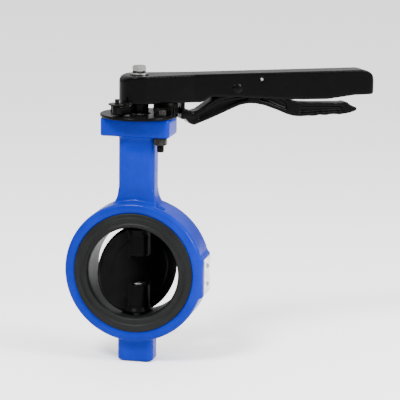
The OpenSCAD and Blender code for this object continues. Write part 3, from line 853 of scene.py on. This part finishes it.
def slant_length(node, thickness):
    """Length of a round bar that lies across the lever, from its box's width."""
    low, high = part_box(node)
    axis = Vector(TRIGGER_JOINT["axis"])
    return (high.x - low.x - thickness * sqrt(1 - axis.x ** 2)) / abs(axis.x)


class VALVE_OT_pivot_pins(bpy.types.Operator):
    """Trigger's pivot pin, its clip and the trigger's stop pin"""
    bl_idname = "valve.pivot_pins"
    bl_label = "Pins across the lever"

    def execute(self, context):
        pivot = Vector(TRIGGER_JOINT["pos_m"])
        place = across_lever(pivot)
        group = fasteners()
        half = group.grip_half * MM
        pin_r, head_r = group.pivot_d * MM / 2, group.pivot_head_d * MM / 2
        tail = -half - 2.35 * MM
        mesh = bmesh.new()
        revolve(mesh, [(0.0, tail), (0.8 * pin_r, tail), (pin_r, tail + 0.5 * MM), (pin_r, half),
                       (head_r, half), (head_r, half + 0.7 * MM), (head_r - 0.8 * MM, half + 1.4 * MM),
                       (pin_r, half + 1.9 * MM), (0.0, half + 2.0 * MM)], place, steps=48)
        clean(mesh)
        put(mesh, "trigger_pivot_pin", ROTOR, black_paint(), ["pivot_pin"])
        mesh = bmesh.new()
        ring = rounded_ring(pin_r + 0.02 * MM, pin_r + 2 * MM, -half - 1.1 * MM, -half - 0.1 * MM, 0.2 * MM)
        revolve(mesh, ring, place, steps=48)
        clean(mesh)
        put(mesh, "pivot_spring_clip", ROTOR, spring_steel(), ["pivot_pin_clip"])
        low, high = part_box("trigger_stop_pin")
        radius = (high.z - low.z) / 2
        reach = slant_length("trigger_stop_pin", 2 * radius) / 2
        bevel = 0.3 * MM
        mesh = bmesh.new()
        revolve(mesh, [(0.0, -reach), (radius - bevel, -reach), (radius, -reach + bevel),
                       (radius, reach - bevel), (radius - bevel, reach), (0.0, reach)],
                across_lever(node_centre("trigger_stop_pin")), steps=32)
        clean(mesh)
        put(mesh, "trigger_roll_pin", ROTOR, zinc_plate(), ["trigger_stop_pin"])
        return {"FINISHED"}


class VALVE_OT_trigger_spring(bpy.types.Operator):
    """Coil spring between the trigger and the lever's roof"""
    bl_idname = "valve.trigger_spring"
    bl_label = "Trigger spring"

    def execute(self, context):
        low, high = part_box("trigger_spring")
        group = fasteners()
        wire_r = group.spring_wire * MM / 2
        coil_r = (high.x - low.x) / 2 - wire_r
        steps = 24 * group.spring_turns
        rise = (high.z - low.z - 2 * wire_r) / steps
        mesh = bmesh.new()
        ring = bmesh.ops.create_circle(mesh, cap_ends=True, radius=wire_r, segments=10)["verts"]
        bmesh.ops.rotate(mesh, cent=(0, 0, 0), matrix=Matrix.Rotation(pi / 2, 3, "X"), verts=ring)
        bmesh.ops.translate(mesh, vec=(coil_r, 0, low.z + wire_r), verts=ring)
        section = mesh.faces[:] + mesh.edges[:] + mesh.verts[:]
        bmesh.ops.spin(mesh, geom=section, cent=(0, 0, 0), axis=(0, 0, 1), dvec=(0, 0, rise),
                       angle=TURN * group.spring_turns, steps=steps, use_duplicate=True, use_merge=False)
        centre = (low + high) / 2
        bmesh.ops.translate(mesh, vec=(centre.x, centre.y, 0), verts=mesh.verts)
        clean(mesh)
        put(mesh, "trigger_coil_spring", ROTOR, spring_steel(), ["trigger_spring"])
        return {"FINISHED"}


class VALVE_OT_nameplate(bpy.types.Operator):
    """Blank nameplate on the ring's side, held by two rivets"""
    bl_idname = "valve.nameplate"
    bl_label = "Nameplate"

    def execute(self, context):
        low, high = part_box("nameplate")
        size = high - low
        mesh = bmesh.new()
        cube = bmesh.ops.create_cube(mesh, size=1.0)["verts"]
        bmesh.ops.scale(mesh, vec=size, verts=cube)
        bmesh.ops.translate(mesh, vec=(low + high) / 2, verts=cube)
        corners = [e for e in mesh.edges if abs(e.verts[0].co.x - e.verts[1].co.x) > NEAR]
        bmesh.ops.bevel(mesh, geom=corners, offset=2.5 * MM, segments=5, profile=0.5, affect="EDGES",
                        material=-1)
        outer = [f for f in mesh.faces if f.normal.x > 0.9]
        bmesh.ops.inset_region(mesh, faces=outer, thickness=1.2 * MM, depth=0)
        outer = [f for f in mesh.faces if f.normal.x > 0.9 and f.calc_area() > 0.0006]
        bmesh.ops.inset_region(mesh, faces=outer, thickness=0.4 * MM, depth=-0.3 * MM)
        clean(mesh)
        put(mesh, "blank_nameplate", BODY, bright_tag(), ["nameplate"])
        low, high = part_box("nameplate_rivets")
        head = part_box("nameplate")[1].x
        r, dome_h, shank, tail, under = 2.6 * MM, 1.5 * MM, 1.25 * MM, -7.5 * MM, -0.3 * MM
        mesh = bmesh.new()
        for z in (low.z + r, high.z - r):
            place = Matrix.Translation((head, 0, z)) @ Matrix.Rotation(pi / 2, 4, "Y")
            dome = [(r * cos(a * pi / 12), dome_h * sin(a * pi / 12)) for a in range(6)]
            revolve(mesh, [(0.0, tail), (shank, tail), (shank, under), (r, under)] + dome + [(0.0, dome_h)],
                    place, steps=32)
        clean(mesh)
        put(mesh, "nameplate_dome_rivets", BODY, zinc_plate(), ["nameplate_rivets"])
        return {"FINISHED"}


class VALVE_OT_inner_parts(bpy.types.Operator):
    """Finishes of the shafts, bushes, rings and pads that keep their own shapes"""
    bl_idname = "valve.inner_parts"
    bl_label = "Shafts, bushes and seals"

    def execute(self, context):
        for name, node in NODES.items():
            material = SLOT_FINISH[SLOT_OF[name]]()
            if not node.data.materials:
                node.data.materials.append(material)
            for place in range(len(node.material_slots)):
                node.material_slots[place].material = material
        return {"FINISHED"}


# ---------------------------------------------------------------- stage

def area_light(name, place, aim, size, power):
    lamp = bpy.data.lights.new(name, "AREA")
    lamp.shape = "RECTANGLE"
    lamp.size, lamp.size_y = size
    lamp.energy = power
    holder = bpy.data.objects.new(name, lamp)
    holder.location = place
    holder.rotation_euler = (Vector(aim) - Vector(place)).to_track_quat("-Z", "Y").to_euler()
    bpy.context.scene.collection.objects.link(holder)


class VALVE_OT_stage(bpy.types.Operator):
    """Pale floor, soft studio light and the camera"""
    bl_idname = "valve.stage"
    bl_label = "Stage"

    def execute(self, context):
        group = context.scene.valve_stage
        floor_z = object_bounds()[0][2] - 0.5 * MM
        mesh = bmesh.new()
        bmesh.ops.create_grid(mesh, x_segments=1, y_segments=1, size=6.0)
        bmesh.ops.translate(mesh, vec=(0, 0, floor_z), verts=mesh.verts)
        data = bpy.data.meshes.new("floor")
        mesh.to_mesh(data)
        mesh.free()
        floor = bpy.data.objects.new("floor", data)
        context.scene.collection.objects.link(floor)
        material, _, shader = start_material("pale_floor")
        shader.inputs["Base Color"].default_value = (0.95, 0.95, 0.95, 1)
        shader.inputs["Roughness"].default_value = 0.7
        data.materials.append(material)
        floor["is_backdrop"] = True

        world = bpy.data.worlds.new("studio")
        world.use_nodes = True
        dome = world.node_tree
        split = dome.nodes.new("ShaderNodeSeparateXYZ")
        dome.links.new(dome.nodes.new("ShaderNodeTexCoord").outputs["Generated"], split.inputs[0])
        low_glow, high_glow = 0.55, 2.1
        sky = span(dome, split.outputs["Z"], -0.05, 0.75, low_glow, high_glow)
        dome.links.new(sky, dome.nodes["Background"].inputs["Strength"])
        dome.nodes["Background"].inputs["Color"].default_value = (1, 1, 1, 1)
        context.scene.world = world
        middle = (0.05, 0, 0.05)
        area_light("key", (-0.5, -1.2, 1.6), middle, (0.5, 0.5), 75)
        area_light("side", (1.3, -0.3, 0.7), middle, (0.5, 0.6), 40)

        right = Vector((cos(group.yaw), sin(group.yaw), 0))
        forward = Vector((-sin(group.yaw) * cos(group.look_down), cos(group.yaw) * cos(group.look_down),
                          -sin(group.look_down)))
        up = right.cross(forward)
        camera = bpy.data.cameras.new("camera")
        camera.lens = group.lens
        camera.sensor_width = 36.0
        camera.clip_end = 20.0
        holder = bpy.data.objects.new("camera", camera)
        holder.location = right * group.aim_side * MM + up * group.aim_up * MM - forward * group.distance
        turned = Matrix((right, up, -forward)).transposed() @ Matrix.Rotation(group.roll, 3, "Z")
        holder.rotation_euler = turned.to_euler()
        context.scene.collection.objects.link(holder)
        context.scene.camera = holder
        return {"FINISHED"}


PIECE_OPERATORS = (
    VALVE_OT_stage, VALVE_OT_inner_parts, VALVE_OT_body_casting, VALVE_OT_rubber_seat, VALVE_OT_disc_casting,
    VALVE_OT_lever_casting, VALVE_OT_notch_plate, VALVE_OT_lever_fasteners, VALVE_OT_plate_fasteners,
    VALVE_OT_stop_screw, VALVE_OT_pivot_pins, VALVE_OT_trigger_spring, VALVE_OT_nameplate,
)


class VALVE_PT_panel(bpy.types.Panel):
    """Sizes, finishes and build steps of the valve"""
    bl_idname = "VALVE_PT_panel"
    bl_label = "Butterfly valve"
    bl_space_type = "VIEW_3D"
    bl_region_type = "UI"
    bl_category = "Valve"

    def draw(self, context):
        scene = context.scene
        for title, group in (("Castings", scene.valve_castings), ("Fasteners", scene.valve_fasteners),
                             ("Finish", scene.valve_finish), ("Stage", scene.valve_stage)):
            box = self.layout.box()
            box.label(text=title)
            for key in group.__annotations__:
                box.prop(group, key)
        for operator in PIECE_OPERATORS:
            self.layout.operator(operator.bl_idname)


SETTINGS = {"valve_castings": ValveCastings, "valve_fasteners": ValveFasteners,
            "valve_finish": ValveFinish, "valve_stage": ValveStage}


def register():
    for group in SETTINGS.values():
        bpy.utils.register_class(group)
    for key, group in SETTINGS.items():
        setattr(bpy.types.Scene, key, PointerProperty(type=group))
    for operator in PIECE_OPERATORS:
        bpy.utils.register_class(operator)
    bpy.utils.register_class(VALVE_PT_panel)


def unregister():
    bpy.utils.unregister_class(VALVE_PT_panel)
    for operator in reversed(PIECE_OPERATORS):
        bpy.utils.unregister_class(operator)
    for key in SETTINGS:
        delattr(bpy.types.Scene, key)
    for group in SETTINGS.values():
        bpy.utils.unregister_class(group)


def main():
    register()
    for operator in PIECE_OPERATORS:
        category, name = operator.bl_idname.split(".")
        getattr(getattr(bpy.ops, category), name)()


if __name__ == "__main__":
    main()
